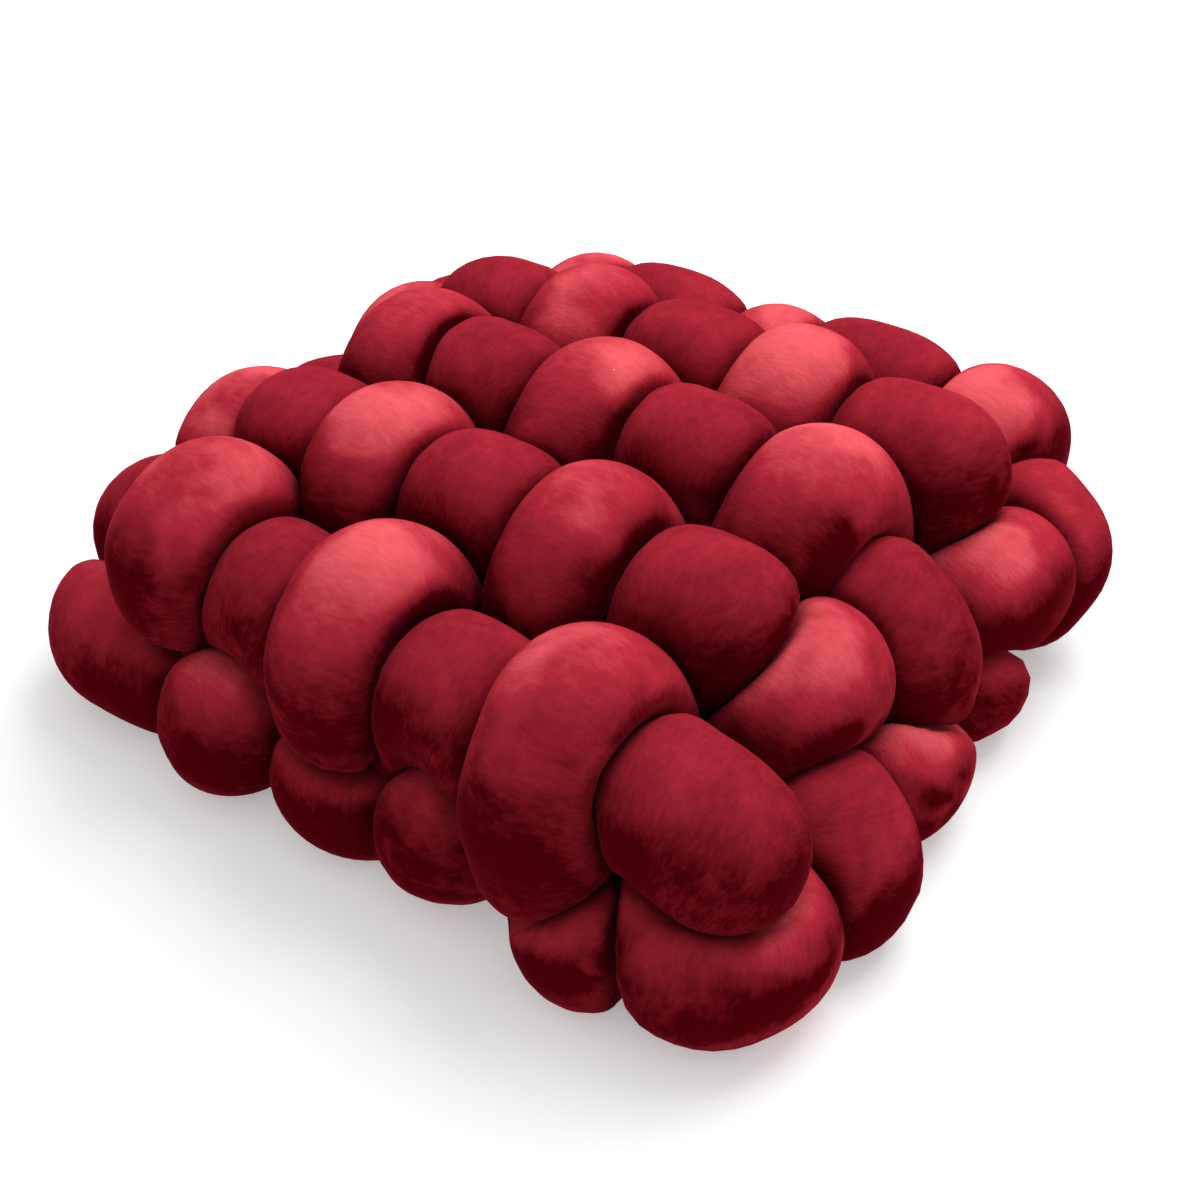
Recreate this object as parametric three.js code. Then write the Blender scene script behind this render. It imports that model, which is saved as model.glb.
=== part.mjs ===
// Square floor cushion plaited from stuffed velvet tubes.
// Units are millimetres, +Z is up, and the origin is at the middle of the underside, on the floor.
// X runs along the cross strands and Y along the long strands.
import * as THREE from 'three';

const HUMP_RADIUS = 37;        // stuffed tube where it bulges over or under another
const TUCKED_RADIUS = 30;      // the same tube where it dives under
const HUMP_LENGTH = 42;        // how far along the tube a bulge reaches, each way from its top
const LOW_LEVEL = 30;          // middle of a tube that lies on the floor,
const ON_EDGE_TUBE = 58;       // and of a cross strand that lies on an edge tube
const LONG_HIGH_LEVEL = 141;   // middle of a long strand that passes over another, at the cushion's middle
const CROSS_HIGH_LEVEL = 134;  // the same of a cross strand
const LAYER_DEPTH = 74;        // from an upper tube down to the one that it passes over
const CROWN_ALONG_X = 14;      // how much lower the upper tubes are at the outermost columns
const CROWN_ALONG_Y = 35;      // and at the outermost rows
const CONTACT_GAP = 0.7;       // between two tubes that press on each other
const RING_STEP = 17;          // distance between two rings of a tube's skin
const RING_SIDES = 14;
const CAP_TILTS = [0.5, 1.05];  // radians by which the rings of a tube's round end lean outwards
const SAMPLE_STEP = 3;         // spacing of the samples of a tube's middle line
const SPINE_SPREAD = 18;       // how far the line that carries the rings is smoothed
const NEIGHBOUR_REACH = 110;   // samples farther away can't press on a ring
const LEAST_DISTANCE = 0.5;    // from the line that carries a ring to its skin
const FACET_GRID = 4;          // steps along a facet's side between the points that are tested
const FLOOR_SNAP = 0.05;       // skin this near the floor lies on it
const PULL_PASSES = 18;        // rounds of pulling in facets that cut across to the next tube
const PULL_SHARE = 0.65;       // of a facet's excess, taken off its corners in a round
const SELF_REACH = 75;         // along the tube: nearer samples are the same stretch,
const SELF_CLEAR = 120;        // and samples farther than this can press on it
const SEARCH_STEP = 3;         // steps outwards that find the skin,
const SEARCH_HALVINGS = 12;    // and how often the last one is halved

// A tube keeps its round shape where it lies over another, and gets dented where it lies under one.
// From the cushion's middle to its rim, the level between over and under comes down, the tubes are
// pressed together more, and less height makes the difference.
const PRESSES = {
  middle: { level: 104, height: 37, firmness: 4 },
  rim: { level: 45, height: 20, firmness: 6 },
};
const RIM_PLACE = 188;         // distance of the rim from the middle

// Columns -1 and 5 are the upper edge tubes, and columns 0 to 4 are the long strands.
// 'frontTip' is the level of a long strand's end that hangs over the front rim. An end under
// that rim stands out by 'frontLow' and lies aside by 'frontAside'.
const COLUMN_PLACES = [
  { column: -1, x: -182 },
  { column: 0, x: -115, frontTip: 96 },
  { column: 1, x: -67, frontLow: 28, frontAside: -12 },
  { column: 2, x: 0, frontTip: 80 },
  { column: 3, x: 58, frontLow: 12, frontAside: 2 },
  { column: 4, x: 124, frontTip: 59 },
  { column: 5, x: 171 },
];
// Rows 1 to 5 are the cross strands. 'edge' is the level of a long strand where it bends down
// past that row. 'rightEnd' and 'rightTip' are the levels of a cross strand where it bends down
// over the right rim, and of its end. That lies 'forward' of its row, slants forward by 'slant'
// and reaches out by 'reach'.
// 'lowOut' is how far out the right rim's low tubes stand.
const ROW_PLACES = [
  { row: 1, y: -170, edge: 121, rightEnd: 94, rightTip: 82, forward: 18, slant: -2, reach: 13, lowOut: 0 },
  { row: 2, y: -84, lowOut: 23 },
  { row: 3, y: 0, rightEnd: 95, rightTip: 52, forward: 2, slant: 0, reach: 2, lowOut: 8 },
  { row: 4, y: 90, lowOut: -9 },
  { row: 5, y: 170, edge: 95, rightEnd: 68, rightTip: 42, forward: 0, slant: 19, reach: -3 },
];
const LOW_FORWARD = 27;        // the right rim's low tubes lie this far forward of their rows
const EDGE_DRAW_IN = 0.15;     // the share by which the cross strands draw together at the edge columns
const COLUMNS = [0, 1, 2, 3, 4];
const ROWS = [1, 2, 3, 4, 5];

const placeOfColumn = (column) => COLUMN_PLACES.find((place) => place.column === column);
const placeOfRow = (row) => ROW_PLACES.find((place) => place.row === row);
const columnX = (column) => placeOfColumn(column).x;
const longStrandIsOver = (column, row) => Math.abs(column + row) % 2 === 1;
const rowY = (row, x = 0) => placeOfRow(row).y * (1 - EDGE_DRAW_IN * (x / columnX(5)) ** 4);

// How far down the domed top has come, towards the outermost columns and rows.
const crown = (x, y) => CROWN_ALONG_X * (x / columnX(5)) ** 2 + CROWN_ALONG_Y * (y / rowY(5)) ** 2;

const longLevel = (x, y, over) => LONG_HIGH_LEVEL - crown(x, y) - (over ? 0 : LAYER_DEPTH);

// Level of a cross strand. In the outermost rows it rides on the edge tube where it is low.
function crossLevel(x, y, over, isEdge) {
  const high = CROSS_HIGH_LEVEL - crown(x, y);
  return over ? high : Math.max(high - LAYER_DEPTH, isEdge ? ON_EDGE_TUBE : LOW_LEVEL);
}

// The last points of a strand that ends over the rim: 'out' is measured outwards from the
// outermost row or column, 'drop' is the share of the way down from the level where it bends to
// its tip's, and 'slant' the share of the slant.
const OVER_END = [
  { out: -22, drop: 0, slant: 0, bulge: true },
  { out: -6, drop: 0.05, slant: 0.2, bulge: true },
  { out: 16, drop: 0.5, slant: 0.7, bulge: true },
  { out: 17, drop: 1, slant: 1.4, bulge: false },
];
const CROSS_FLAT = 15;         // a cross strand's humps are flat this far each way,
const CROSS_FLAT_DROP = 2;     // and this much lower there
const RIGHT_SHORTER = 8;       // a cross strand's end stands out this much less at the right rim,
const LEFT_SHORTER = 5;        // and at the left rim,
const LEFT_END = 79;           // where this is its level as it bends down,
const LEFT_TIP = 54;           // and this its end's
const BACK_TIP = 64;           // level of a long strand's end at the back

// The last points of a strand that ends under the rim; 'shift' is a share of the low tubes' shift.
const UNDER_END = [
  { out: -26, z: 55, shift: 0.2, bulge: false },
  { out: 12, z: 50, shift: 0.8, bulge: false },
  { out: 22, z: 31, shift: 1, bulge: true },
  { out: 17, z: 27, shift: 1.15, bulge: true },
];

// The plaiting is done by hand, so the plan isn't quite square.
const FAN_BACK = 0.07;         // the share by which the long strands spread at the back,
const FAN_FRONT = 0.035;       // and close up in front
const TURN = 3;                // how far back the rows are at the right side, and forward at the left
const TURN_AT_BACK = 11;       // and more than that at the back, less in front
const CENTRE_X = 0.7;          // brings the middle of the whole to the origin
const CENTRE_Y = -1.8;

// A point of a tube's middle line, and whether the tube bulges there.
function at(x, y, z, bulge) {
  const across = x / columnX(5);
  const back = y / rowY(5);
  const fan = y > 0 ? FAN_BACK : FAN_FRONT;
  const turned = (TURN + TURN_AT_BACK * back) * across;
  const point = new THREE.Vector3(x * (1 + fan * back) + CENTRE_X, y + turned + CENTRE_Y, z);
  point.bulge = bulge;
  return point;
}

function longStrand(column) {
  const { x, frontTip, frontLow, frontAside } = placeOfColumn(column);
  const points = [];
  for (const row of ROWS) {
    const { y, edge } = placeOfRow(row);
    const over = longStrandIsOver(column, row);
    if (!edge) {
      points.push(at(x, y, longLevel(x, y, over), true));
    } else if (over) {
      const tip = y < 0 ? frontTip : BACK_TIP;
      const level = (drop) => edge - drop * (edge - tip);
      const tail = OVER_END.slice(1).map((p) => at(x, y + Math.sign(y) * p.out, level(p.drop), p.bulge));
      if (y < 0) points.unshift(...tail.reverse());
      else points.push(...tail);
    } else if (y < 0) {
      const shorter = UNDER_END[2].out - frontLow;
      const place = (p) => [x + p.shift * frontAside, y - p.out + p.shift * shorter, p.z];
      const tail = UNDER_END.map((p) => at(...place(p), p.bulge));
      points.unshift(...tail.reverse());
    } else {
      points.push(...UNDER_END.map((p) => at(x, y + p.out, p.z, p.bulge)));
    }
  }
  return points;
}

function crossStrand(row) {
  const { edge, rightEnd, rightTip, forward, slant, reach, lowOut } = placeOfRow(row);
  const points = [];
  for (const { column, x } of COLUMN_PLACES) {
    const y = rowY(row, x);
    const over = !longStrandIsOver(column, row);
    if (column >= 0 && column < 5 && over) {
      for (const aside of [-CROSS_FLAT, 0, CROSS_FLAT]) {
        const drop = aside === 0 ? 0 : CROSS_FLAT_DROP;
        points.push(at(x + aside, y, crossLevel(x, y, over, Boolean(edge)) - drop, true));
      }
    } else if (column >= 0 && column < 5) {
      points.push(at(x, y, crossLevel(x, y, over, Boolean(edge)), true));
    } else if (x < 0) {
      const level = (drop) => LEFT_END - drop * (LEFT_END - LEFT_TIP);
      const tail = over
        ? OVER_END.map((p) => at(x - p.out + LEFT_SHORTER, y, level(p.drop), p.bulge))
        : UNDER_END.map((p) => at(x - p.out, y, p.z, p.bulge));
      points.unshift(...tail.reverse());
    } else if (over) {
      const outer = x - RIGHT_SHORTER;
      for (const { out, slant: share, drop, bulge } of OVER_END) {
        const z = rightEnd - drop * (rightEnd - rightTip);
        points.push(at(outer + out + share * reach, y - forward - share * slant, z, bulge));
      }
    } else {
      const place = (p) => [x + p.out + p.shift * lowOut, y - p.shift * LOW_FORWARD, p.z];
      points.push(...UNDER_END.map((p) => at(...place(p), p.bulge)));
    }
  }
  return points;
}

const LOW_OUT = 18;      // an edge tube's hump that shows, beyond the outermost column or row
const LOW_IN = -38;      // the same tube where a strand passes outside it
const LOW_HUMP = 30;
const LOW_TUCK = 20;
const EDGE_HIGH = 95;    // the upper edge tube where it passes over a cross strand,
const BACK_HIGH = 66;    // and nearer to the back on the right, where it has sunk
const BACK_OUT = 10;     // and moved to the right,
const EDGE_UNDER = 40;   // and where it passes under one,
const EDGE_INSET = 12;   // a little farther in

// The curl round the front corner, measured from the outermost column and row.
const CORNER_CURL = [
  { x: 33, y: 34, z: 30, bulge: false },
  { x: 42, y: 14, z: 31, bulge: true },
  { x: 33, y: -4, z: 32, bulge: true },
  { x: 13, y: -5, z: 34, bulge: true },
  { x: -4, y: 9, z: 39, bulge: true },
  { x: -10, y: 36, z: 42, bulge: false },
  { x: -8, y: 66, z: 54, bulge: false },
];

const CURL_INSET = 24;   // the far left corner's curl is drawn in by this much more

// The turn under the left corner, from the upper column into the low row in front.
const LEFT_TURN = [
  { x: -10, y: -26, z: 32, bulge: false },
  { x: 8, y: 7, z: 34, bulge: true },
  { x: -6, y: 22, z: 34, bulge: true },
  { x: -32, y: 21, z: 33, bulge: true },
  { x: -64, y: 10, z: 28, bulge: false },
];

// The same turn under the right corner, hidden by the cross strand's end that hangs over it.
const RIGHT_TURN = [
  { x: -20, y: -10, z: 30, bulge: false },
  { x: -30, y: 6, z: 28, bulge: false },
  { x: -42, y: 13, z: 28, bulge: false },
];
const TUBE_END_OUT = -1;        // the last hump stands out this much farther, and
const TUBE_END_REACH = 28;     // reaches this far past its column

// Edge tube of the right side: in along the low column, round the front corner, back along the
// upper column, under the right corner and along the far row. The left one is the same half turned.
function edgeTube(halfTurned) {
  const sign = halfTurned ? -1 : 1;
  const lineX = (column) => sign * columnX(halfTurned ? 4 - column : column);
  const lineY = (row, x = 0) => sign * rowY(halfTurned ? 6 - row : row, sign * x);
  const points = [];
  const add = (x, y, z, bulge) => points.push(at(sign * x, sign * y, z, bulge));
  const sideX = lineX(5);
  for (const row of [4, 3, 2]) {
    const shows = row % 2 === 1;
    const shift = halfTurned ? 0 : placeOfRow(row).lowOut;
    const forward = halfTurned ? 0 : LOW_FORWARD;
    const out = shows ? LOW_OUT : LOW_IN;
    add(sideX + out + shift, lineY(row, sideX) - forward, shows ? LOW_HUMP : LOW_TUCK, shows);
  }
  const curlX = halfTurned ? sideX - CURL_INSET : sideX;
  for (const { x, y, z, bulge } of CORNER_CURL) add(curlX + x, lineY(1) + y, z, bulge);
  for (const row of [2, 3, 4]) {
    const shows = row % 2 === 0;
    const atBack = lineY(row) * sign > 0;
    const high = atBack && !halfTurned ? BACK_HIGH : EDGE_HIGH;
    const out = atBack ? sign * BACK_OUT : 0;
    add(sideX + (shows ? out : -EDGE_INSET), lineY(row, sideX), shows ? high : EDGE_UNDER, shows);
  }
  for (const { x, y, z, bulge } of halfTurned ? LEFT_TURN : RIGHT_TURN) {
    add(sideX + x, lineY(5) + y, z, bulge);
  }
  for (const column of halfTurned ? [3, 2, 1] : [4, 3, 2, 1]) {
    const shows = column % 2 === 0;
    add(lineX(column), lineY(5) + (shows ? LOW_OUT : LOW_IN), shows ? LOW_HUMP : LOW_TUCK, shows);
  }
  add(lineX(0) - TUBE_END_REACH, lineY(5) + LOW_OUT + TUBE_END_OUT, LOW_HUMP, true);
  return points;
}

// How many millimetres of thickness a tube's firmness counts for against its neighbours.
function firmnessAt({ x, y, z }) {
  const share = Math.min(Math.max(Math.abs(x), Math.abs(y)) / RIM_PLACE, 1) ** 4;
  const { middle, rim } = PRESSES;
  const mixed = (key) => THREE.MathUtils.lerp(middle[key], rim[key], share);
  return mixed('firmness') * THREE.MathUtils.clamp((z - mixed('level')) / mixed('height'), -1, 1);
}

// Equal steps along a smooth line through the given points.
function evenSamples(points, step) {
  const curve = new THREE.CatmullRomCurve3(points, false, 'centripetal');
  curve.arcLengthDivisions = points.length * 60;
  const count = Math.max(8, Math.round(curve.getLength() / step));
  const humps = points.filter((point) => point.bulge);
  return curve.getSpacedPoints(count).map((sample) => {
    const nearest = Math.min(...humps.map((hump) => hump.distanceTo(sample)));
    const fullness = Math.exp(-((nearest / HUMP_LENGTH) ** 2));
    sample.radius = TUCKED_RADIUS + (HUMP_RADIUS - TUCKED_RADIUS) * fullness;
    sample.firmness = firmnessAt(sample);
    return sample;
  });
}

// The line that carries the rings: the middle line, smoothed so that its rings never fold over.
function smoothedLine(line, spread) {
  const reach = Math.ceil((2.5 * spread) / SAMPLE_STEP);
  return line.map((_, at) => {
    const room = Math.min(reach, at, line.length - 1 - at);
    const sum = new THREE.Vector3();
    let total = 0;
    for (let k = -room; k <= room; k += 1) {
      const weight = Math.exp(-0.5 * ((k * SAMPLE_STEP) / spread) ** 2);
      sum.addScaledVector(line[at + k], weight);
      total += weight;
    }
    return sum.divideScalar(total);
  });
}

// Parallel frames along a line.
function frames(line) {
  const result = [];
  let side = null;
  for (let at = 0; at < line.length; at += 1) {
    const ahead = line[Math.min(at + 1, line.length - 1)];
    const behind = line[Math.max(at - 1, 0)];
    const along = ahead.clone().sub(behind).normalize();
    if (side === null) side = new THREE.Vector3(0, 0, 1).cross(along).normalize();
    side = side.clone().addScaledVector(along, -side.dot(along)).normalize();
    result.push({ along, side, up: along.clone().cross(side) });
  }
  return result;
}

const strands = {};
for (const column of COLUMNS) strands[`long_strand_${column + 1}`] = longStrand(column);
for (const row of ROWS) strands[`cross_strand_${row}`] = crossStrand(row);
strands.edge_tube_right = edgeTube(false);
strands.edge_tube_left = edgeTube(true);

const lines = [];
for (const [name, points] of Object.entries(strands)) {
  lines.push({ name, line: evenSamples(points, SAMPLE_STEP) });
}

// How far a point lies outside the full tube round these samples, less than zero inside it, and
// the same with the tube's firmness added to its thickness.
function depthsAt(point, samples) {
  let full = Infinity;
  let pressed = Infinity;
  for (const sample of samples) {
    const depth = point.distanceTo(sample) - sample.radius;
    full = Math.min(full, depth);
    pressed = Math.min(pressed, depth - sample.firmness);
  }
  return { full, pressed };
}

// How far a point is past the surface where a tube and its neighbours meet, less than zero
// before it. A firmer tube keeps its full shape there, and the other one takes the dent.
function excessAt(point, { own, others }) {
  const other = depthsAt(point, others);
  return CONTACT_GAP + Math.min(-other.full, depthsAt(point, own).pressed - other.pressed);
}

// How far the skin stands from 'from' in one direction: a full tube round its own middle line,
// stopped where it meets another tube and at the floor.
function skinDistance(from, direction, near) {
  const point = new THREE.Vector3();
  const isInside = (distance) => {
    point.copy(from).addScaledVector(direction, distance);
    return point.z >= 0 && depthsAt(point, near.own).full < 0 && excessAt(point, near) < 0;
  };
  let inside = 0;
  let outside = SEARCH_STEP;
  while (isInside(outside) && outside < 2.5 * HUMP_RADIUS) {
    inside = outside;
    outside += SEARCH_STEP;
  }
  for (let pass = 0; pass < SEARCH_HALVINGS; pass += 1) {
    const middle = (inside + outside) / 2;
    if (isInside(middle)) inside = middle;
    else outside = middle;
  }
  return Math.max(inside, LEAST_DISTANCE);
}

// The samples of the same stretch of tube, and those of everything that can press on it.
function neighbours(index, centre, place) {
  const own = [];
  const others = [];
  lines.forEach((other, k) => {
    other.line.forEach((sample, n) => {
      if (sample.distanceTo(centre) > NEIGHBOUR_REACH) return;
      const apart = Math.abs(n - place) * SAMPLE_STEP;
      if (k === index && apart < SELF_REACH) own.push(sample);
      else if (k !== index || apart > SELF_CLEAR) others.push(sample);
    });
  });
  return { own, others };
}

// Points of a facet, as shares of its three corners: an even grid, the corners left out.
const FACET_TESTS = [];
for (let i = 0; i <= FACET_GRID; i += 1) {
  for (let j = 0; i + j <= FACET_GRID; j += 1) {
    const shares = [i, j, FACET_GRID - i - j].map((steps) => steps / FACET_GRID);
    if (Math.max(...shares) < 1) FACET_TESTS.push(shares);
  }
}

function tubeSkin(index) {
  const { line } = lines[index];
  const spine = smoothedLine(line, SPINE_SPREAD);
  const turned = frames(spine);
  const length = (line.length - 1) * SAMPLE_STEP;
  const steps = Math.round(length / RING_STEP);
  const end = line.length - 1;
  const rings = [];
  for (let k = 0; k <= steps; k++) rings.push({ place: Math.round((k / steps) * end), tilt: 0 });
  for (const tilt of CAP_TILTS) {
    rings.unshift({ place: 0, tilt: -tilt });
    rings.push({ place: end, tilt });
  }

  const vertices = [];
  const addVertex = (centre, direction, near) => {
    const distance = skinDistance(centre, direction, near);
    vertices.push({ centre, direction, distance, near });
  };
  for (const { place, tilt } of rings) {
    const { side, up, along } = turned[place];
    const near = neighbours(index, spine[place], place);
    for (let k = 0; k < RING_SIDES; k += 1) {
      const angle = (2 * Math.PI * k) / RING_SIDES;
      const across = side.clone().multiplyScalar(Math.cos(angle)).addScaledVector(up, Math.sin(angle));
      const direction = across.multiplyScalar(Math.cos(tilt)).addScaledVector(along, Math.sin(tilt));
      addVertex(spine[place], direction, near);
    }
  }
  for (const place of [0, end]) {
    const direction = turned[place].along.clone().multiplyScalar(place === 0 ? -1 : 1);
    addVertex(spine[place], direction, neighbours(index, spine[place], place));
  }

  const faces = [];
  const first = rings.length * RING_SIDES;
  const last = first + 1;
  for (let k = 0; k < RING_SIDES; k += 1) {
    const next = (k + 1) % RING_SIDES;
    for (let ring = 0; ring < rings.length - 1; ring += 1) {
      const a = ring * RING_SIDES + k;
      const b = ring * RING_SIDES + next;
      faces.push([a, b, b + RING_SIDES], [a, b + RING_SIDES, a + RING_SIDES]);
    }
    const lastRing = (rings.length - 1) * RING_SIDES;
    faces.push([first, next, k], [last, lastRing + k, lastRing + next]);
  }

  const placeOf = ({ centre, direction, distance }) => centre.clone().addScaledVector(direction, distance);
  for (let pass = 0; pass < PULL_PASSES; pass += 1) {
    const pulls = vertices.map(() => 0);
    for (const [a, b, c] of faces) {
      const places = [a, b, c].map((corner) => placeOf(vertices[corner]));
      for (const shares of FACET_TESTS) {
        const point = new THREE.Vector3();
        places.forEach((place, k) => point.addScaledVector(place, shares[k]));
        const excess = excessAt(point, vertices[a].near);
        if (excess <= 0) continue;
        [a, b, c].forEach((corner, k) => {
          if (shares[k] > 0) pulls[corner] = Math.max(pulls[corner], PULL_SHARE * excess);
        });
      }
    }
    vertices.forEach((vertex, k) => {
      vertex.distance = Math.max(vertex.distance - pulls[k], LEAST_DISTANCE);
    });
  }

  const geometry = new THREE.BufferGeometry();
  const onFloor = (z) => (z < FLOOR_SNAP ? 0 : z);
  const positions = vertices.map(placeOf).flatMap((p) => [p.x, p.y, onFloor(p.z)]);
  geometry.setAttribute('position', new THREE.Float32BufferAttribute(positions, 3));
  geometry.setIndex(faces.flat());
  geometry.computeVertexNormals();
  return geometry;
}

const velvet = new THREE.MeshStandardMaterial({ color: 0x8c0f24, roughness: 0.85, metalness: 0 });

const cushion = new THREE.Group();
lines.forEach(({ name }, index) => {
  const mesh = new THREE.Mesh(tubeSkin(index), velvet.clone());
  mesh.name = name;
  cushion.add(mesh);
});

export default cushion;
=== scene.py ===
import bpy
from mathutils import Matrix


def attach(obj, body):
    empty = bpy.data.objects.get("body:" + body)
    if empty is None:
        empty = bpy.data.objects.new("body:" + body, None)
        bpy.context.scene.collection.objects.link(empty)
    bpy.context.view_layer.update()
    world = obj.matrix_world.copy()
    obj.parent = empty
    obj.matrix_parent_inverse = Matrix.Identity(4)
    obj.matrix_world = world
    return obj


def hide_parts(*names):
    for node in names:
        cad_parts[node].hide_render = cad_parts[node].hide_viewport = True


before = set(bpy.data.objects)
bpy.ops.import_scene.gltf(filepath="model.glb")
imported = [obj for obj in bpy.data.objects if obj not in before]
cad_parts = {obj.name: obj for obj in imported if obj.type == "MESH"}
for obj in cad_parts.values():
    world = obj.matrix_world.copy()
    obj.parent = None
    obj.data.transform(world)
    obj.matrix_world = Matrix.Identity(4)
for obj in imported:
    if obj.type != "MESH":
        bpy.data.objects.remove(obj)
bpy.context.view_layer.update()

# Long strands: five sleeves of crimson velvet, stuffed firm and closed at both ends.
# They lie front to back and are plaited over one cross strand and under the next. The hand that
# plaited them left the plan a little askew. Lengths are millimetres until a mesh is made of them.
# Columns 0 to 4 are the long strands, columns -1 and 5 the upper edge tubes, and rows the cross strands.
COLUMN_X = {-1: -182, 0: -115, 1: -67, 2: 0, 3: 58, 4: 124, 5: 171}
ROW_Y = {1: -170, 2: -84, 3: 0, 4: 90, 5: 170}
ROW_EDGE_LEVEL = {1: 121, 5: 95}        # of a long strand where it bends down past the outermost rows
FRONT_TIP = {0: 96, 2: 80, 4: 59}       # level of an end that hangs over the front rim,
BACK_TIP = 64                           # and over the back one
FRONT_LOW = {1: 28, 3: 12}              # how far an end under the front rim stands out,
FRONT_ASIDE = {1: -12, 3: 2}            # and how far it lies aside

LONG_HIGH_LEVEL = 141
LAYER_DEPTH = 74                        # from an upper tube down to the one that it passes over
CROWN_ALONG_X = 14                      # how much lower the top is at the outermost columns
CROWN_ALONG_Y = 35                      # and at the outermost rows
EDGE_DRAW_IN = 0.15                     # the cross strands draw together over the edge columns
FAN_BACK = 0.07                         # the long strands spread at the back
FAN_FRONT = 0.035                       # and close up in front
TURN = 3                                # how far back the rows are at the right side
TURN_AT_BACK = 11                       # and more than that at the back
CENTRE = (0.7, -1.8)                    # brings the middle of the whole to the origin

# The last points of a strand that ends over the rim: how far out, the share of the way down
# to its tip, the share of the slant, and whether it bulges there. A long strand leaves out the first.
OVER_END = [(-22, 0, 0, True), (-6, 0.05, 0.2, True), (16, 0.5, 0.7, True), (17, 1, 1.4, False)]
# And of one that ends under the rim: how far out, its level, and the share of the shift aside.
UNDER_END = [(-26, 55, 0.2, False), (12, 50, 0.8, False), (22, 31, 1, True), (17, 27, 1.15, True)]


def at(x, y, z, bulge):
    """A point of a tube's middle line, and whether the tube bulges there."""
    across, back = x / COLUMN_X[5], y / ROW_Y[5]
    fan = FAN_BACK if y > 0 else FAN_FRONT
    turned = (TURN + TURN_AT_BACK * back) * across
    return (x * (1 + fan * back) + CENTRE[0], y + turned + CENTRE[1], z, bulge)


def row_y(row, x=0):
    return ROW_Y[row] * (1 - EDGE_DRAW_IN * (x / COLUMN_X[5]) ** 4)


def crown(x, y):
    return CROWN_ALONG_X * (x / COLUMN_X[5]) ** 2 + CROWN_ALONG_Y * (y / ROW_Y[5]) ** 2


def long_strand_is_over(column, row):
    return (column + row) % 2 == 1


def long_strand(column):
    x = COLUMN_X[column]
    points = []
    for row, y in ROW_Y.items():
        over = long_strand_is_over(column, row)
        if row in (2, 3, 4):
            points.append(at(x, y, LONG_HIGH_LEVEL - crown(x, y) - (0 if over else LAYER_DEPTH), True))
            continue
        away = -1 if y < 0 else 1
        if over:
            edge = ROW_EDGE_LEVEL[row]
            tip = FRONT_TIP[column] if row == 1 else BACK_TIP
            tail = [at(x, y + away * out, edge - drop * (edge - tip), bulge)
                    for out, drop, _, bulge in OVER_END[1:]]
        elif row == 1:
            shorter = UNDER_END[2][0] - FRONT_LOW[column]
            tail = [at(x + shift * FRONT_ASIDE[column], y - out + shift * shorter, z, bulge)
                    for out, z, shift, bulge in UNDER_END]
        else:
            tail = [at(x, y + out, z, bulge) for out, z, _, bulge in UNDER_END]
        points += tail[::-1] if row == 1 else tail
    return points


routes = {f"long_strand_{column + 1}": long_strand(column) for column in range(5)}

# Cross strands: five more sleeves of the same velvet, stuffed alike, from side to side.
# They go over where the long strands go under. On the right their ends hang over the rim,
# slanting forward, or come out low under it.
CROSS_HIGH_LEVEL = 134
LOW_LEVEL = 30                          # of a tube that lies on the floor,
ON_EDGE_TUBE = 58                       # and of a cross strand that lies on an edge tube
CROSS_FLAT = 15                         # its humps are flat this far each way,
CROSS_FLAT_DROP = 2                     # and this much lower there
RIGHT_END = {1: 94, 3: 95, 5: 68}       # level where it bends down over the right rim,
RIGHT_TIP = {1: 82, 3: 52, 5: 42}       # and of its end,
RIGHT_FORWARD = {1: 18, 3: 2, 5: 0}     # which lies forward of its row,
RIGHT_SLANT = {1: -2, 3: 0, 5: 19}      # slants forward
RIGHT_REACH = {1: 13, 3: 2, 5: -3}      # and reaches out
LOW_OUT_BY_ROW = {1: 0, 2: 23, 3: 8, 4: -9, 5: 0}
LOW_FORWARD = 27                        # the right rim's low tubes lie forward of their rows
RIGHT_SHORTER = 8                       # the ends stand out this much less at the right rim,
LEFT_SHORTER = 5                        # and at the left one,
LEFT_END = 79                           # where this is their level as they bend down,
LEFT_TIP = 54                           # and this their ends'


def cross_strand(row):
    points = []
    for column, x in COLUMN_X.items():
        y = row_y(row, x)
        over = not long_strand_is_over(column, row)
        if 0 <= column < 5:
            high = CROSS_HIGH_LEVEL - crown(x, y)
            lowest = ON_EDGE_TUBE if row in ROW_EDGE_LEVEL else LOW_LEVEL
            if over:
                for aside in (-CROSS_FLAT, 0, CROSS_FLAT):
                    drop = CROSS_FLAT_DROP if aside else 0
                    points.append(at(x + aside, y, high - drop, True))
            else:
                points.append(at(x, y, max(high - LAYER_DEPTH, lowest), True))
        elif x < 0 and over:
            points += [at(x - out + LEFT_SHORTER, y, LEFT_END - drop * (LEFT_END - LEFT_TIP), bulge)
                       for out, drop, _, bulge in OVER_END[::-1]]
        elif x < 0:
            points += [at(x - out, y, z, bulge) for out, z, _, bulge in UNDER_END[::-1]]
        elif over:
            for out, drop, slant, bulge in OVER_END:
                level = RIGHT_END[row] - drop * (RIGHT_END[row] - RIGHT_TIP[row])
                points.append(at(x - RIGHT_SHORTER + out + slant * RIGHT_REACH[row],
                                 y - RIGHT_FORWARD[row] - slant * RIGHT_SLANT[row], level, bulge))
        else:
            points += [at(x + out + shift * LOW_OUT_BY_ROW[row], y - shift * LOW_FORWARD, z, bulge)
                       for out, z, shift, bulge in UNDER_END]
    return points


for row in ROW_Y:
    routes[f"cross_strand_{row}"] = cross_strand(row)

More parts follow.
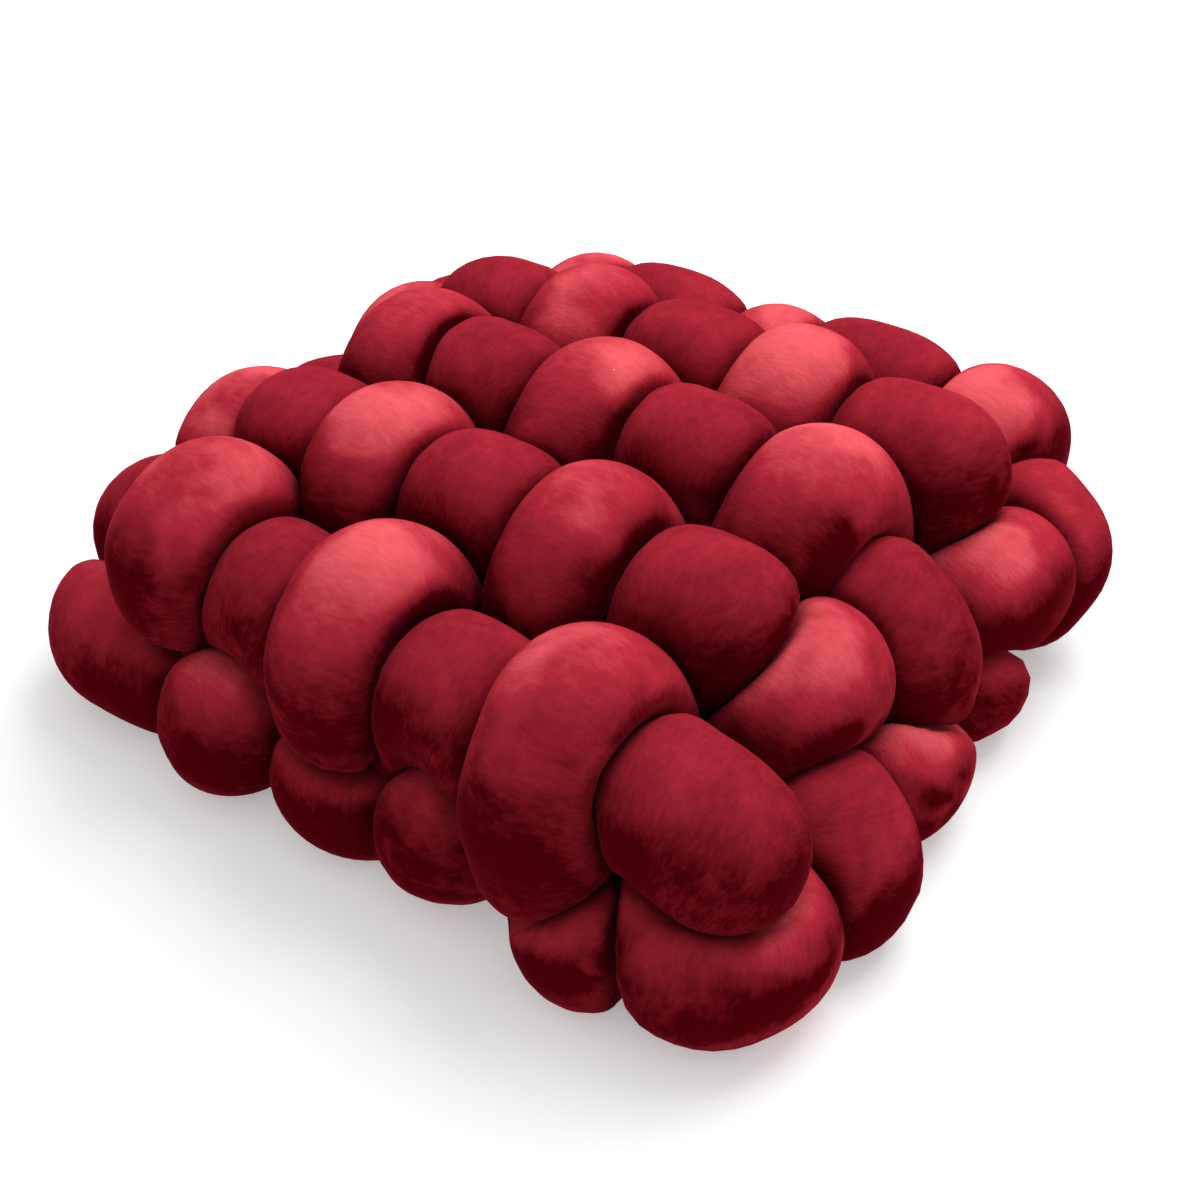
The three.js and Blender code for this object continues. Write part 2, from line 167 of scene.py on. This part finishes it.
# Edge tubes: two long sleeves of the same velvet that bind the rim, one from each side.
# Each comes in low along its side, curls back over itself round a corner, returns as the upper
# edge column, turns under the next corner and ends low along the far side.
LOW_OUT = 18                            # a hump that shows, beyond the outermost column or row
LOW_IN = -38                            # the tube where a strand passes outside it
LOW_HUMP = 30                           # level of the first,
LOW_TUCK = 20                           # and of the second
EDGE_HIGH = 95                          # the upper column where it passes over a cross strand,
BACK_HIGH = 66                          # and nearer to the back on the right, where it has sunk
BACK_OUT = 10                           # and moved to the right,
EDGE_UNDER = 40                         # and where it passes under one,
EDGE_INSET = 12                         # a little farther in
CORNER_CURL = [(33, 34, 30, False), (42, 14, 31, True), (33, -4, 32, True), (13, -5, 34, True),
               (-4, 9, 39, True), (-10, 36, 42, False), (-8, 66, 54, False)]
CURL_INSET = 24                         # the far left corner's curl is drawn in by this much
LEFT_TURN = [(-10, -26, 32, False), (8, 7, 34, True), (-6, 22, 34, True), (-32, 21, 33, True),
             (-64, 10, 28, False)]
RIGHT_TURN = [(-20, -10, 30, False), (-30, 6, 28, False), (-42, 13, 28, False)]
TUBE_END_OUT = -1                       # the last hump stands out this much more,
TUBE_END_REACH = 28                     # and reaches this far past its column


def edge_tube(half_turned):
    sign = -1 if half_turned else 1
    points = []

    def line_x(column):
        return sign * COLUMN_X[4 - column if half_turned else column]

    def line_y(row, x=0):
        return sign * row_y(6 - row if half_turned else row, sign * x)

    def add(x, y, z, bulge):
        points.append(at(sign * x, sign * y, z, bulge))

    side_x = line_x(5)
    for row in (4, 3, 2):
        shows = row == 3
        shift = 0 if half_turned else LOW_OUT_BY_ROW[row]
        forward = 0 if half_turned else LOW_FORWARD
        add(side_x + (LOW_OUT if shows else LOW_IN) + shift, line_y(row, side_x) - forward,
            LOW_HUMP if shows else LOW_TUCK, shows)
    curl_x = side_x - CURL_INSET if half_turned else side_x
    for x, y, z, bulge in CORNER_CURL:
        add(curl_x + x, line_y(1) + y, z, bulge)
    for row in (2, 3, 4):
        shows = row != 3
        at_back = line_y(row) * sign > 0
        high = BACK_HIGH if at_back and not half_turned else EDGE_HIGH
        out = sign * BACK_OUT if at_back else 0
        add(side_x + (out if shows else -EDGE_INSET), line_y(row, side_x),
            high if shows else EDGE_UNDER, shows)
    for x, y, z, bulge in LEFT_TURN if half_turned else RIGHT_TURN:
        add(side_x + x, line_y(5) + y, z, bulge)
    for column in (3, 2, 1) if half_turned else (4, 3, 2, 1):
        shows = column % 2 == 0
        add(line_x(column), line_y(5) + (LOW_OUT if shows else LOW_IN),
            LOW_HUMP if shows else LOW_TUCK, shows)
    add(line_x(0) - TUBE_END_REACH, line_y(5) + LOW_OUT + TUBE_END_OUT, LOW_HUMP, True)
    return points


routes["edge_tube_right"] = edge_tube(False)
routes["edge_tube_left"] = edge_tube(True)

# Stuffing: polyester fibre, blown into each sleeve until it is firm.
# A stuffed sleeve is round and fattest on its humps. It keeps that shape where it lies over
# another and gets dented where it lies under one, so each skin stops at its own full width, at
# the floor, or where it meets the other sleeve, which is nearer to the lower one's middle.
import math

import numpy as np

HUMP_RADIUS = 37.4
TUCKED_RADIUS = 30.4
HUMP_LENGTH = 42                        # how far along the tube a bulge reaches
CONTACT_GAP = 0.7
CURVE_STEPS = 60                        # between two points of a route, before even steps are taken
SAMPLE_STEP = 3
RING_STEP = 3.6
RING_SIDES = 64
BLUR_REACH = 2.5                        # how far a smoothing reaches, in spreads
SPINE_SPREAD = 18                       # smoothing of the line that carries the rings,
TURN_SPREAD = 5                         # and of the way they face, in rings
NEIGHBOUR_REACH = 110                   # samples farther away can't press on a ring
SELF_REACH = 75                         # nearer samples are the same stretch of tube,
SELF_CLEAR = 120                        # and samples farther than this can press on it
SEARCH_STEP = 4                         # steps outwards that find the skin,
SEARCH_REACH = 92                       # how far they go,
SEARCH_HALVINGS = 7                     # and how often the last one is halved
LEAST_DISTANCE = 0.5                    # from the line that carries a ring to its skin
# Level between over and under, the height that makes the difference, and the millimetres of
# thickness that it counts for: in the middle of the cushion and at its rim.
MIDDLE_PRESS = np.array((104, 37, 4))
RIM_PRESS = np.array((45, 20, 6))
RIM_PLACE = 188                         # distance of the rim from the middle


def even_samples(route):
    """Even steps along a smooth line through a route, and the radius and firmness at each."""
    places = np.array([point[:3] for point in route], float)
    ends = np.vstack([2 * places[0] - places[1], places, 2 * places[-1] - places[-2]])
    fine = []
    for p0, p1, p2, p3 in zip(ends, ends[1:], ends[2:], ends[3:]):
        t1 = np.linalg.norm(p1 - p0) ** 0.5
        t2 = t1 + np.linalg.norm(p2 - p1) ** 0.5
        t3 = t2 + np.linalg.norm(p3 - p2) ** 0.5
        t = np.linspace(t1, t2, CURVE_STEPS, endpoint=False)[:, None]
        a1 = ((t1 - t) * p0 + t * p1) / t1
        a2 = ((t2 - t) * p1 + (t - t1) * p2) / (t2 - t1)
        a3 = ((t3 - t) * p2 + (t - t2) * p3) / (t3 - t2)
        b1 = ((t2 - t) * a1 + t * a2) / t2
        b2 = ((t3 - t) * a2 + (t - t1) * a3) / (t3 - t1)
        fine.append(((t2 - t) * b1 + (t - t1) * b2) / (t2 - t1))
    fine = np.vstack(fine + [places[-1:]])
    travelled = np.concatenate([[0], np.cumsum(np.linalg.norm(np.diff(fine, axis=0), axis=1))])
    even = np.linspace(0, travelled[-1], round(travelled[-1] / SAMPLE_STEP) + 1)
    line = np.stack([np.interp(even, travelled, fine[:, axis]) for axis in range(3)], axis=1)
    humps = np.array([point[:3] for point in route if point[3]], float)
    nearest = np.linalg.norm(line[:, None] - humps[None], axis=2).min(axis=1)
    radius = TUCKED_RADIUS + (HUMP_RADIUS - TUCKED_RADIUS) * np.exp(-((nearest / HUMP_LENGTH) ** 2))
    share = np.minimum(np.abs(line[:, :2]).max(axis=1) / RIM_PLACE, 1) ** 4
    level, height, most = (MIDDLE_PRESS + share[:, None] * (RIM_PRESS - MIDDLE_PRESS)).T
    firmness = most * np.clip((line[:, 2] - level) / height, -1, 1)
    return line, np.column_stack([radius, radius + firmness])


tubes = {name: even_samples(route) for name, route in routes.items()}


def blurred(values, spread, axis, wraps):
    """Smooths values along one axis, past whose ends they wrap round or stay as they are."""
    reach = math.ceil(BLUR_REACH * spread)
    widths = [(reach, reach) if way == axis else (0, 0) for way in range(values.ndim)]
    padded = np.pad(values, widths, mode="wrap" if wraps else "edge")
    offsets = np.arange(-reach, reach + 1)
    weights = np.exp(-0.5 * (offsets / spread) ** 2)
    size = values.shape[axis]
    parts = [weight * np.take(padded, range(k, k + size), axis=axis) for k, weight in enumerate(weights)]
    return sum(parts) / weights.sum()


def ring_carriers(line, rings):
    """Where each ring stands: its centre, the way along the tube, and two directions across it."""
    reach = math.ceil(BLUR_REACH * SPINE_SPREAD / SAMPLE_STEP)
    spine = np.empty_like(line)
    for place in range(len(line)):
        room = min(reach, place, len(line) - 1 - place)
        offsets = np.arange(-room, room + 1)
        weights = np.exp(-0.5 * (offsets * SAMPLE_STEP / SPINE_SPREAD) ** 2)
        spine[place] = (line[place + offsets] * weights[:, None]).sum(axis=0) / weights.sum()
    exact = np.linspace(0, len(line) - 1, rings)
    steps = np.arange(len(line))
    centres = np.stack([np.interp(exact, steps, spine[:, axis]) for axis in range(3)], axis=1)
    along = np.gradient(centres, axis=0)
    along = blurred(along / np.linalg.norm(along, axis=1)[:, None], TURN_SPREAD, 0, False)
    along /= np.linalg.norm(along, axis=1)[:, None]
    sides = np.empty_like(centres)
    side = np.cross((0, 0, 1), along[0])
    for ring, direction in enumerate(along):
        side = side - direction * side.dot(direction)
        side /= np.linalg.norm(side)
        sides[ring] = side
    return exact, centres, along, sides, np.cross(along, sides)


def depths(points, samples):
    """How far points lie outside the full tube round some samples, less than zero inside it.

    The second answer is the same with the tube's firmness added to its thickness.
    """
    places = samples[:, :3]
    squares = (points ** 2).sum(axis=-1)[..., None] + (places ** 2).sum(axis=1) - 2 * points @ places.T
    apart = np.sqrt(np.maximum(squares, 0))
    return (apart - samples[:, 3]).min(axis=-1), (apart - samples[:, 4]).min(axis=-1)


def skin_distances(name, exact, centre, directions):
    """How far the skin stands from a ring's centre in each direction."""
    own, others = [], []
    for other, (places, radii) in tubes.items():
        samples = np.column_stack([places - centre, radii])
        near = np.linalg.norm(samples[:, :3], axis=1) < NEIGHBOUR_REACH
        if other == name:
            apart = np.abs(np.arange(len(places)) - exact) * SAMPLE_STEP
            own.append(samples[near & (apart < SELF_REACH)])
            near &= apart > SELF_CLEAR
        others.append(samples[near])
    own, others = np.vstack(own), np.vstack(others)

    def is_inside(distances):
        points = directions * distances[..., None]
        own_full, own_pressed = depths(points, own)
        other_full, other_pressed = depths(points, others)
        is_free = (other_full > CONTACT_GAP) | (own_pressed < other_pressed - CONTACT_GAP)
        return (points[..., 2] + centre[2] >= 0) & (own_full < 0) & is_free

    steps = np.arange(0, SEARCH_REACH, SEARCH_STEP, dtype=float)
    stopped = ~is_inside(np.repeat(steps[:, None], len(directions), axis=1))
    stopped[0] = False
    first = np.where(stopped.any(axis=0), stopped.argmax(axis=0), len(steps) - 1)
    inside, outside = steps[first - 1], steps[first]
    for _ in range(SEARCH_HALVINGS):
        middle = (inside + outside) / 2
        good = is_inside(middle)
        inside = np.where(good, middle, inside)
        outside = np.where(good, outside, middle)
    return np.maximum(inside, LEAST_DISTANCE)


# Sleeves: velvet cloth, sewn to a tube and turned, with its pile outside.
# It spans from one press to the next in soft curves, is never quite even, and where a tube bends
# hard the inner side gathers in creases that run round the tube.
import bpy

# Radians by which the rings of a round end lean outwards.
CAP_TILTS = (0.2, 0.4, 0.6, 0.8, 1.0, 1.2, 1.38)
EDGE_SOFTNESS = 1.1                     # rings or sides that soften the rim of a pressed flat
UNEVENNESS = 1.0
UNEVEN_WAVES = 14
WAVES_PEAK = 1.4                        # what their sum is divided by, so that it seldom passes 1
SHORTEST_WAVE = 38
LONGEST_WAVE = 110
CREASE_DEPTH = 3.4
CREASE_SPACING = 13
CREASE_SHARPNESS = 1.5
CREASE_SPREAD = 2                       # rings or sides over which the creases fade out
CREASE_WANDER = 0.5                     # in creases
WANDER_SEED = 100                       # added, so that the creases don't follow the unevenness
GATHERED = 0.62                         # spacing of the skin's rings below which it gathers
SMOOTH_RINGS = 2                        # next to a round end, where nothing gathers
MM = 0.001


def waves(points, seed):
    """Smooth seeded noise from -1 to 1: a few plane waves added up."""
    dice = np.random.default_rng(seed)
    total = np.zeros(points.shape[:-1])
    for _ in range(UNEVEN_WAVES):
        direction = dice.normal(size=3)
        direction /= np.linalg.norm(direction)
        length = dice.uniform(SHORTEST_WAVE, LONGEST_WAVE)
        total += np.sin(points @ direction * (2 * math.pi / length) + dice.uniform(0, 2 * math.pi))
    return np.clip(total / math.sqrt(UNEVEN_WAVES) / WAVES_PEAK, -1, 1)


def sleeve_mesh(name, seed):
    line, _ = tubes[name]
    length = (len(line) - 1) * SAMPLE_STEP
    straight = round(length / RING_STEP)
    caps = len(CAP_TILTS)
    rings = straight + 2 * caps
    carriers = [np.pad(values, [(caps, caps)] + [(0, 0)] * (values.ndim - 1), mode="edge")
                for values in ring_carriers(line, straight)]
    exact, centres, along, sides, ups = carriers
    tilts = np.concatenate([-np.array(CAP_TILTS[::-1]), np.zeros(straight), CAP_TILTS])[:, None, None]
    angles = np.linspace(0, 2 * math.pi, RING_SIDES, endpoint=False)
    across = np.cos(angles)[None, :, None] * sides[:, None] + np.sin(angles)[None, :, None] * ups[:, None]
    directions = across * np.cos(tilts) + along[:, None] * np.sin(tilts)
    distances = np.array([skin_distances(name, exact[ring], centres[ring], directions[ring])
                          for ring in range(rings)])
    soft = blurred(blurred(distances, EDGE_SOFTNESS, 0, False), EDGE_SOFTNESS, 1, True)
    distances = np.minimum(distances, soft)
    skin = centres[:, None] + directions * distances[..., None]

    spacing = np.linalg.norm(np.gradient(skin, axis=0), axis=2) / RING_STEP
    smooth = caps + SMOOTH_RINGS
    spacing[:smooth] = 1
    spacing[-smooth:] = 1
    gathered = blurred(np.clip((GATHERED - spacing) / GATHERED, 0, 1), CREASE_SPREAD, 0, False)
    gathered = blurred(gathered, CREASE_SPREAD, 1, True)
    wander = waves(skin, seed + WANDER_SEED) * CREASE_WANDER
    turn = (exact * SAMPLE_STEP)[:, None] / CREASE_SPACING + wander
    crease = (1 - np.abs(np.sin(math.pi * turn))) ** CREASE_SHARPNESS
    uneven = 0.5 + 0.5 * waves(skin, seed)
    lowered = UNEVENNESS * uneven + CREASE_DEPTH * np.sqrt(gathered) * crease
    distances = np.maximum(distances - lowered, LEAST_DISTANCE)
    skin = centres[:, None] + directions * distances[..., None]
    skin[..., 2] = np.maximum(skin[..., 2], 0)

    tips = []
    for ring, way in ((0, -1), (rings - 1, 1)):
        reach = skin_distances(name, exact[ring], centres[ring], along[ring][None] * way)[0]
        tips.append(centres[ring] + along[ring] * way * reach)
    points = np.vstack([skin.reshape(-1, 3), tips]) * MM

    faces = []
    for k in range(RING_SIDES):
        after = (k + 1) % RING_SIDES
        for ring in range(rings - 1):
            near, far = ring * RING_SIDES, (ring + 1) * RING_SIDES
            faces.append((near + k, near + after, far + after, far + k))
        first, last = rings * RING_SIDES, (rings - 1) * RING_SIDES
        faces += [(first, after, k), (first + 1, last + k, last + after)]
    mesh = bpy.data.meshes.new(f"velvet_{name}")
    mesh.from_pydata(points.tolist(), [], faces)
    mesh.shade_smooth()

    # What the velvet's look needs: where each point lies on a straight sleeve, and how far the
    # sleeve runs front to back there, which makes its painted highlight and its brushed patches stronger.
    around = np.stack([np.cos(angles), np.sin(angles)], axis=1) * HUMP_RADIUS
    lengths = exact * SAMPLE_STEP + tilts.ravel() * HUMP_RADIUS
    flat = np.concatenate([np.broadcast_to(lengths[:, None, None], (rings, RING_SIDES, 1)),
                           np.broadcast_to(around[None], (rings, RING_SIDES, 2))], axis=2).reshape(-1, 3)
    flat = np.vstack([flat, (2 * lengths[0] - lengths[1], 0, 0), (2 * lengths[-1] - lengths[-2], 0, 0)])
    sleeve = mesh.attributes.new("sleeve", "FLOAT_VECTOR", "POINT")
    sleeve.data.foreach_set("vector", flat.astype(np.float32).ravel())
    lengthwise = along[:, 1] ** 2
    lengthwise = np.append(np.repeat(lengthwise, RING_SIDES), [lengthwise[0], lengthwise[-1]])
    lie = mesh.attributes.new("lie", "FLOAT", "POINT")
    lie.data.foreach_set("value", lengthwise.astype(np.float32))
    mesh.update()
    return mesh


# Velvet: a short crimson pile on a knitted back, with fine ribs round each sleeve.
# Where a hand has brushed it the pile lies another way, in patches with soft edges, and looks
# lighter or darker. It shines a rosy red at a low angle and has picked up a little white lint.
# Its colour also carries painted light: a rosy painted highlight where the skin faces up and a deep
# painted shade on the sides. Darker and lighter brushed patches move it between the two as well.
PAINTED_SHADE_AND_DARK_NAP_CRIMSON = (0.07, 0.0002, 0.003, 1)
BODY_CRIMSON = (0.47, 0.026, 0.046, 1)
PAINTED_HIGHLIGHT_AND_LIGHT_NAP_CRIMSON = (0.96, 0.135, 0.155, 1)
LINT = (0.75, 0.6, 0.6, 1)
VELVET_ROUGHNESS = 0.85
SHEEN_TINT = (1, 0.08, 0.12, 1)
SHEEN_WEIGHT = 0.26
SHEEN_ROUGHNESS = 0.28
PATCH_SCALE = 16                        # brushed patches in a metre,
MOTTLE_SCALE = 95                       # mottles,
PILE_SCALE = 1500                       # tufts of the pile,
LINT_SCALE = 34                         # and specks of lint
LINT_RADIUS = 0.015                     # as a share of the space between two specks
RIB_PITCH = 1.3
RIB_LENGTH = 5.5
# The tone runs from 0, the deep colour, over 0.5, the body's, to 1, the rosy one. The sides stay in
# painted shade near 0, a painted highlight lightens what faces up, and brushed patches, mottles and ribs
# move it a little.
PAINTED_SIDE_SHADE = 0.02
PAINTED_TOP_LIGHT = 0.34                        # painted light, added where the skin faces up,
PAINTED_TOP_SHEEN_LENGTHWISE = 0.37             # and painted sheen, more where the sleeve runs front to back
PATCH_SHADE = 0.1
PATCH_SHADE_LENGTHWISE = 0.26
MOTTLE_SHADE = 0.08
RIB_SHADE = 0.06
RIB_HEIGHT = 0.4                        # share of the bumps' height,
PILE_HEIGHT = 0.6                       # and the pile's share
BUMP_STRENGTH = 0.5
BUMP_DISTANCE = 0.0006


class Look:
    """An output of a shader node. An expression on it adds Math nodes."""

    def __init__(self, tree, socket=None):
        self.tree = tree
        self.socket = socket

    def node(self, kind, settings, sockets, output=0):
        """Adds any node: its settings first, then the values or links of its sockets."""
        made = self.tree.nodes.new(kind)
        for name, value in settings.items():
            setattr(made, name, value)
        for name, value in sockets.items():
            if isinstance(value, Look):
                self.tree.links.new(value.socket, made.inputs[name])
            else:
                made.inputs[name].default_value = value
        return Look(self.tree, made.outputs[output])

    def maths(self, operation, first, second):
        return self.node("ShaderNodeMath", {"operation": operation}, {0: first, 1: second})

    def __add__(self, other):
        return self.maths("ADD", self, other)

    def __sub__(self, other):
        return self.maths("SUBTRACT", self, other)

    def __rsub__(self, other):
        return self.maths("SUBTRACT", other, self)

    def __mul__(self, other):
        return self.maths("MULTIPLY", self, other)

    def __lt__(self, other):
        return self.maths("LESS_THAN", self, other)

    def __gt__(self, other):
        return self.maths("GREATER_THAN", self, other)

    __radd__ = __add__
    __rmul__ = __mul__

    def spread(self, low, high):
        """0 at the low value, 1 at the high one, and a soft step between."""
        return self.node("ShaderNodeMapRange", {"interpolation_type": "SMOOTHSTEP"},
                         {"Value": self, "From Min": low, "From Max": high})


def velvet_material(seed):
    material = bpy.data.materials.new(f"velvet_{seed}")
    material.use_nodes = True
    tree = material.node_tree
    shader = tree.nodes["Principled BSDF"]
    look = Look(tree)
    place = look.node("ShaderNodeNewGeometry", {}, {}, "Position")
    facing = look.node("ShaderNodeNewGeometry", {}, {}, "Normal")
    # Painted light: how far the skin faces up, which lightens its colour.
    painted_light_facing_up = look.node("ShaderNodeSeparateXYZ", {}, {"Vector": facing}, "Z").spread(low=0.1, high=1.0)
    sleeve = look.node("ShaderNodeAttribute", {"attribute_name": "sleeve"}, {}, "Vector")
    lie = look.node("ShaderNodeAttribute", {"attribute_name": "lie"}, {}, "Fac")

    def noise(where, scale, detail, distortion):
        return look.node("ShaderNodeTexNoise", {"noise_dimensions": "4D"},
                         {"Vector": where, "W": float(seed), "Scale": scale, "Detail": detail,
                          "Distortion": distortion}, "Fac")

    def mix(share, first, second):
        return look.node("ShaderNodeMix", {"data_type": "RGBA", "clamp_factor": True},
                         {0: share, 6: first, 7: second}, 2)

    patches = noise(place, PATCH_SCALE, detail=2.0, distortion=0.6).spread(low=0.4, high=0.62)
    mottle = noise(place, MOTTLE_SCALE, detail=4.0, distortion=0.4).spread(low=0.3, high=0.7)
    stretched = look.node("ShaderNodeVectorMath", {"operation": "MULTIPLY"},
                          {0: sleeve, 1: (1 / RIB_PITCH, 1 / RIB_LENGTH, 1 / RIB_LENGTH)}, "Vector")
    ribs = noise(stretched, 1.0, detail=2.0, distortion=0.6).spread(low=0.34, high=0.66)
    pile = noise(place, PILE_SCALE, detail=2.0, distortion=0.0)
    # Painted light and shade: lighter where the skin faces up, more on the sleeves that run front to
    # back, and deep on the sides.
    painted_light = PAINTED_SIDE_SHADE + painted_light_facing_up * (PAINTED_TOP_LIGHT + PAINTED_TOP_SHEEN_LENGTHWISE * lie)
    brushed = (PATCH_SHADE + PATCH_SHADE_LENGTHWISE * lie) * (patches - 0.5)
    tone_with_painted_light = painted_light + (brushed + MOTTLE_SHADE * (mottle - 0.5) + RIB_SHADE * (ribs - 0.5))
    # From the painted shade over the body's colour to the painted highlight.
    colour = mix(2 * tone_with_painted_light, PAINTED_SHADE_AND_DARK_NAP_CRIMSON, BODY_CRIMSON)
    colour = mix(2 * tone_with_painted_light - 1, colour, PAINTED_HIGHLIGHT_AND_LIGHT_NAP_CRIMSON)
    specks = look.node("ShaderNodeTexVoronoi", {"feature": "F1"},
                       {"Vector": place, "Scale": LINT_SCALE}, "Distance") < LINT_RADIUS
    colour = mix(specks, colour, LINT)
    tree.links.new(colour.socket, shader.inputs["Base Color"])
    height = RIB_HEIGHT * ribs + PILE_HEIGHT * pile
    bump = look.node("ShaderNodeBump", {}, {"Strength": BUMP_STRENGTH, "Distance": BUMP_DISTANCE,
                                            "Height": height}, "Normal")
    tree.links.new(bump.socket, shader.inputs["Normal"])
    shader.inputs["Roughness"].default_value = VELVET_ROUGHNESS
    shader.inputs["Specular IOR Level"].default_value = 0.0
    shader.inputs["Sheen Weight"].default_value = SHEEN_WEIGHT
    shader.inputs["Sheen Roughness"].default_value = SHEEN_ROUGHNESS
    shader.inputs["Sheen Tint"].default_value = SHEEN_TINT
    return material


for seed, name in enumerate(routes, start=1):
    piece = bpy.data.objects.new(f"velvet_{name}", sleeve_mesh(name, seed))
    bpy.context.collection.objects.link(piece)
    piece.data.materials.append(velvet_material(seed))
    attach(piece, "root")
    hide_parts(name)

# Floor: a plain white studio floor.
# It glows a little, like a light table, so that the cushion's shadow on it stays faint.
FLOOR_REACH = 6.0                       # metres each way
FLOOR_COLOUR = (0.92, 0.92, 0.92, 1)
FLOOR_ROUGHNESS = 0.9
FLOOR_GLOW = 0.32
WHITE = (1, 1, 1, 1)
floor_corners = [(-FLOOR_REACH, -FLOOR_REACH, 0), (FLOOR_REACH, -FLOOR_REACH, 0),
                 (FLOOR_REACH, FLOOR_REACH, 0), (-FLOOR_REACH, FLOOR_REACH, 0)]
floor_mesh = bpy.data.meshes.new("floor")
floor_mesh.from_pydata(floor_corners, [], [(0, 1, 2, 3)])
floor = bpy.data.objects.new("floor", floor_mesh)
bpy.context.collection.objects.link(floor)
floor_material = bpy.data.materials.new("floor")
floor_material.use_nodes = True
floor_shader = floor_material.node_tree.nodes["Principled BSDF"]
floor_shader.inputs["Base Color"].default_value = FLOOR_COLOUR
floor_shader.inputs["Roughness"].default_value = FLOOR_ROUGHNESS
floor_shader.inputs["Emission Color"].default_value = WHITE
floor_shader.inputs["Emission Strength"].default_value = FLOOR_GLOW
floor_mesh.materials.append(floor_material)

# Light: a white studio all round, and a large soft lamp above and behind the cushion.
from mathutils import Vector

STUDIO_STRENGTH = 0.6
LAMP_PLACE = Vector((0.1, 0.9, 1.5))    # in metres, as are the two below
LAMP_AIM = Vector((0, 0, 0.05))
LAMP_SIZE = 1.3
LAMP_POWER = 22
world = bpy.data.worlds.new("studio")
bpy.context.scene.world = world
world.use_nodes = True
world.node_tree.nodes["Background"].inputs["Color"].default_value = WHITE
world.node_tree.nodes["Background"].inputs["Strength"].default_value = STUDIO_STRENGTH
lamp_data = bpy.data.lights.new("top_lamp", "AREA")
lamp_data.size = LAMP_SIZE
lamp_data.energy = LAMP_POWER
lamp = bpy.data.objects.new("top_lamp", lamp_data)
lamp.location = LAMP_PLACE
lamp.rotation_euler = (LAMP_AIM - LAMP_PLACE).to_track_quat("-Z", "Y").to_euler()
bpy.context.collection.objects.link(lamp)
bpy.context.scene.view_settings.view_transform = "Standard"

# Camera: where the photograph was taken from.
CAMERA_YAW = math.radians(127.02)
CAMERA_DROP = math.radians(36.09)
CAMERA_DISTANCE = 910.7
CAMERA_AIM = Vector((30.9, -39.6, 60))
FOCAL_LENGTH = 1.5                      # in widths of the picture
SENSOR_WIDTH = 36
looking = Vector((math.cos(CAMERA_YAW) * math.cos(CAMERA_DROP),
                  math.sin(CAMERA_YAW) * math.cos(CAMERA_DROP), -math.sin(CAMERA_DROP)))
camera_data = bpy.data.cameras.new("camera")
camera_data.sensor_width = SENSOR_WIDTH
camera_data.lens = SENSOR_WIDTH * FOCAL_LENGTH
camera = bpy.data.objects.new("camera", camera_data)
camera.location = (CAMERA_AIM - looking * CAMERA_DISTANCE) * MM
camera.rotation_euler = looking.to_track_quat("-Z", "Y").to_euler()
bpy.context.collection.objects.link(camera)
bpy.context.scene.camera = camera
